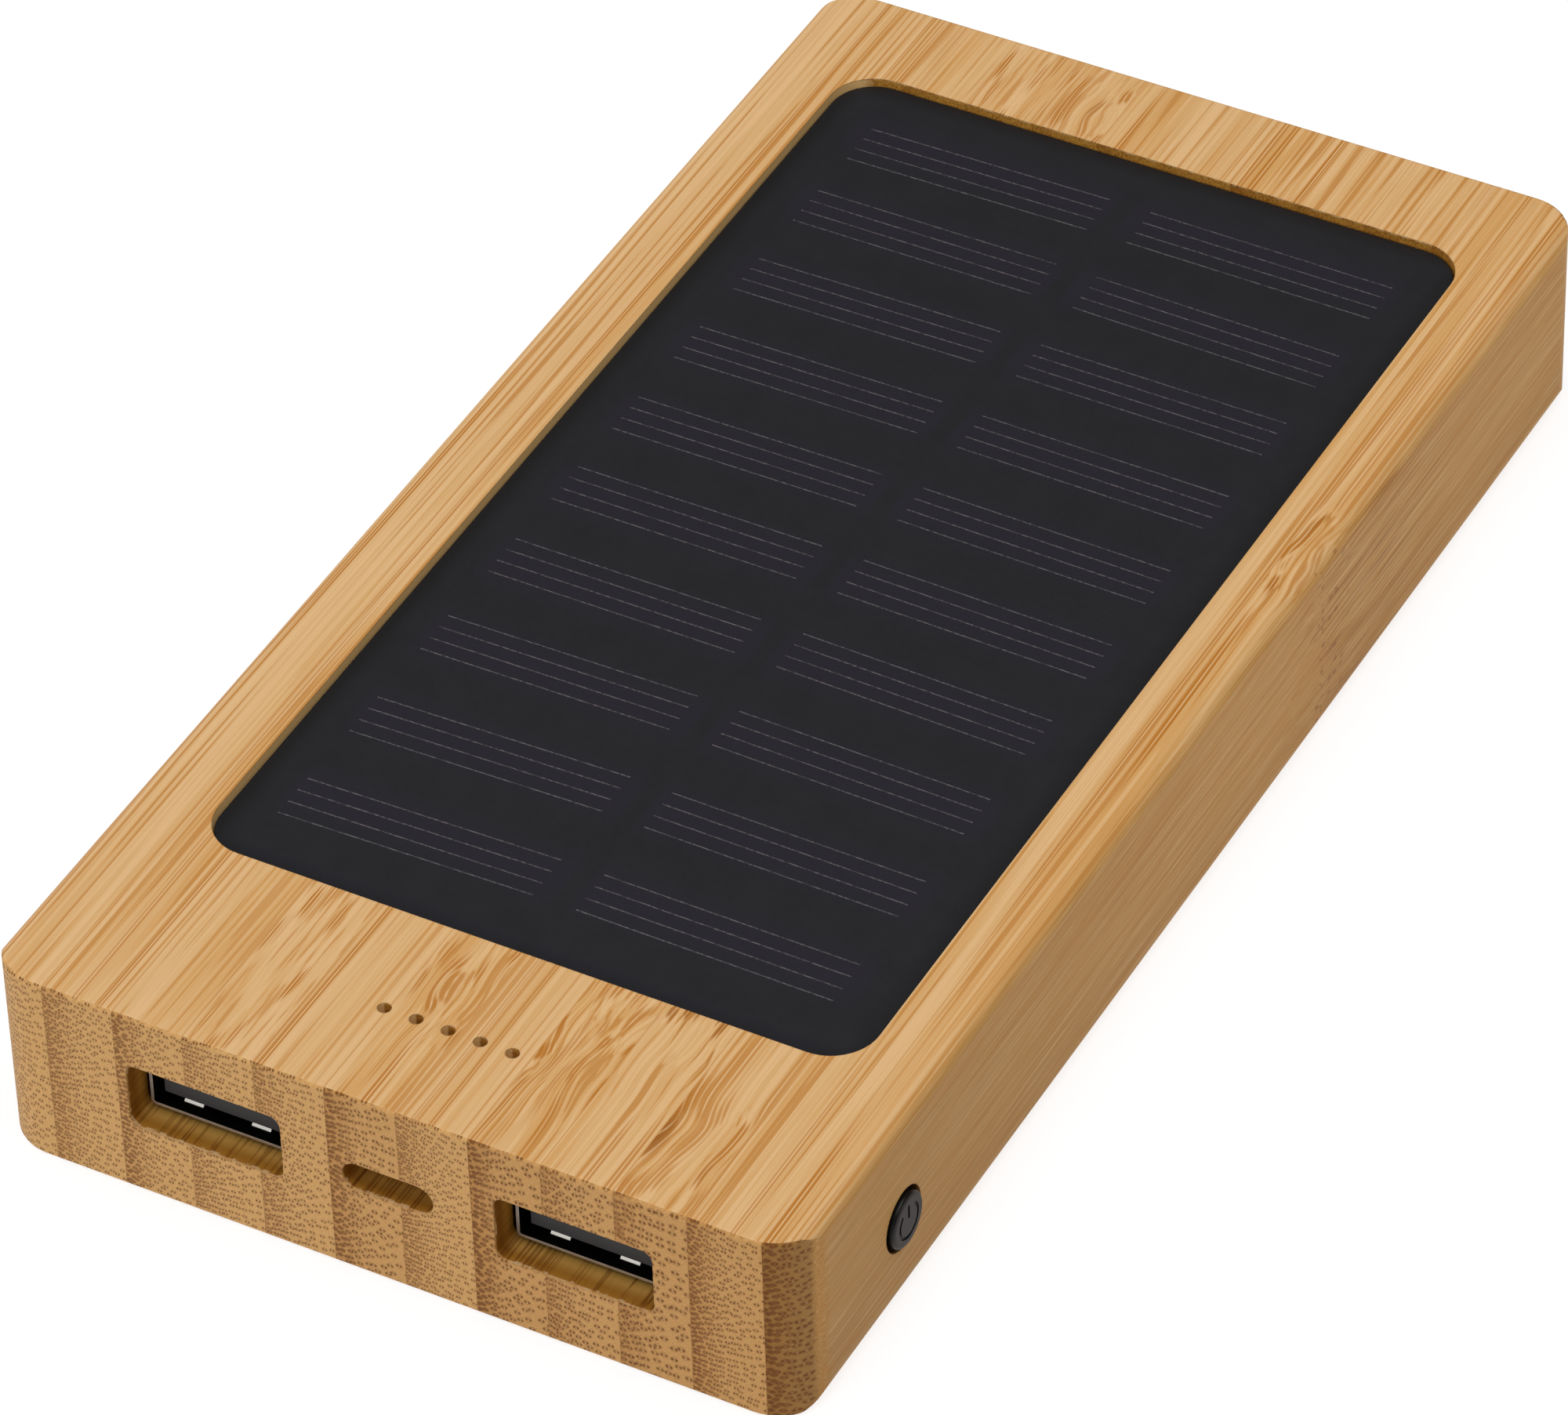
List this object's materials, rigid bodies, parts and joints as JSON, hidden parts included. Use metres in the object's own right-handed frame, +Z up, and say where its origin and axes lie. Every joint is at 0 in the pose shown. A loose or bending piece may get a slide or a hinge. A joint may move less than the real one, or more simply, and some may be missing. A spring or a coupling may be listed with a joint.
{
  "type": "solar phone charger",
  "caption": "Slim bamboo solar power bank: panel set into the top, charge lights, side power button, USB-A and USB-C sockets in one end.",
  "frame": {"origin": "centre of the flat underside", "axes": "+Z up through the solar panel, +Y along the length away from the sockets, +X towards the power button"},
  "size_m": [0.0755, 0.147, 0.0192],
  "materials": {
    "bamboo": "milled and sanded laminated bamboo with a thin clear oil",
    "steel_screws": "zinc plated",
    "panel_film": "satin, faint orange peel",
    "silicon": "dark blue-black",
    "glass_epoxy_black": "matte",
    "adhesive_tape": "matte",
    "solder": "bright",
    "insulation_black": "satin",
    "insulation_red": "satin",
    "circuit_board_green": "solder mask",
    "led_resin": "clear resin",
    "component_black": "matte",
    "ferrite": "matte",
    "tinned_copper": "tinned",
    "capacitor_ceramic": "matte",
    "capacitor_can": "bright",
    "socket_shell_steel": "nickel plated",
    "socket_plastic": "moulded",
    "gold_contact": "gold flash",
    "switch_plastic": "moulded",
    "spring_steel": "bright",
    "button_plastic": "matte, moulded",
    "pouch_laminate": "matte foil laminate",
    "nickel": "bright",
    "insulating_tape": "clear amber film",
    "foam": "closed-cell foam"
  },
  "bodies": {
    "case": {"bamboo_body": "bamboo", "bamboo_bottom_cover": "bamboo", "cover_screws": "steel_screws", "board_screws": "steel_screws", "solar_front_sheet": "panel_film", "solar_cells": "silicon", "solar_backing_board": "glass_epoxy_black", "solar_adhesive_frame": "adhesive_tape", "solar_solder_pads": "solder", "solar_lead_black": "insulation_black", "battery_lead_black": "insulation_black", "solar_lead_red": "insulation_red", "battery_lead_red": "insulation_red", "main_circuit_board": "circuit_board_green", "protection_board": "circuit_board_green", "charge_leds": "led_resin", "led_resistors": "component_black", "power_ics": "component_black", "schottky_diodes": "component_black", "protection_ics": "component_black", "boost_inductor": "ferrite", "power_ic_leads": "tinned_copper", "tact_switch_terminals": "tinned_copper", "ceramic_capacitors": "capacitor_ceramic", "output_capacitors": "capacitor_can", "usb_a_left_shell": "socket_shell_steel", "usb_a_right_shell": "socket_shell_steel", "usb_c_shell": "socket_shell_steel", "usb_a_left_insulator": "socket_plastic", "usb_a_right_insulator": "socket_plastic", "usb_c_insulator": "socket_plastic", "usb_c_riser": "socket_plastic", "usb_a_left_contacts": "gold_contact", "usb_a_right_contacts": "gold_contact", "usb_c_contacts": "gold_contact", "tact_switch_body": "switch_plastic", "tact_switch_dome": "spring_steel", "tact_switch_bracket": "spring_steel", "battery_pouch": "pouch_laminate", "battery_tabs": "nickel", "protection_tape": "insulating_tape", "battery_foam_bottom": "foam", "battery_foam_top": "foam"},
    "button": {"power_button": "button_plastic", "tact_switch_stem": "switch_plastic"}
  },
  "joints": [
    {"name": "power_button_press", "type": "slide", "parent": "case", "child": "button", "axis": [-1, 0, 0], "range_m": [0, 0.0003], "stiffness_N_per_m": 4000, "springref_m": -0.0002}
  ]
}
